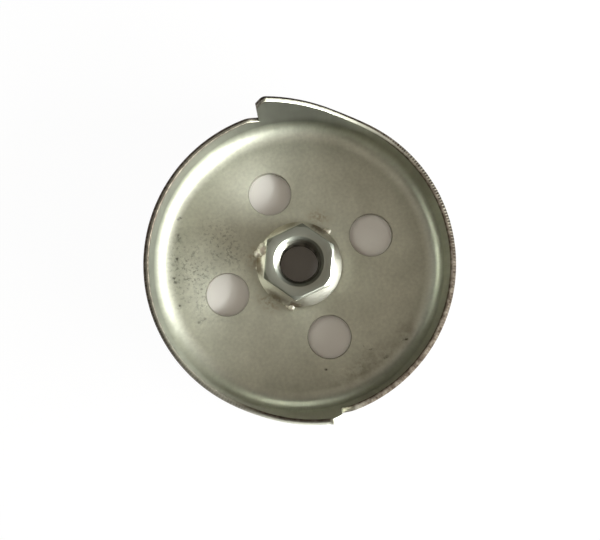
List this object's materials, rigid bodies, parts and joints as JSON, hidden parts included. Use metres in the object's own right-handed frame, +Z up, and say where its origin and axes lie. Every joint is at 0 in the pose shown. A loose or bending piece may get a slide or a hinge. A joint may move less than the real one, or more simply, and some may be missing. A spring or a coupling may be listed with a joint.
{
  "type": "starter cup",
  "caption": "Pressed steel starter cup for a small garden engine, with saw-tooth catches on the rim, round floor holes and a threaded hexagon nut welded in the centre.",
  "frame": {"origin": "centre of the cup's flat underside, on the turning axis", "axes": "+Z up along the turning axis towards the open side, +Y through the driving face of the first tooth"},
  "size_m": [0.069, 0.069, 0.0197],
  "materials": {
    "plated_sheet": "satin zinc plating, stained",
    "plated_nut": "turned, zinc plated",
    "weld_metal": "plated weld metal"
  },
  "bodies": {
    "root": {"cup_shell": "plated_sheet", "weld_nut": "plated_nut", "weld_beads": "weld_metal"}
  },
  "joints": []
}
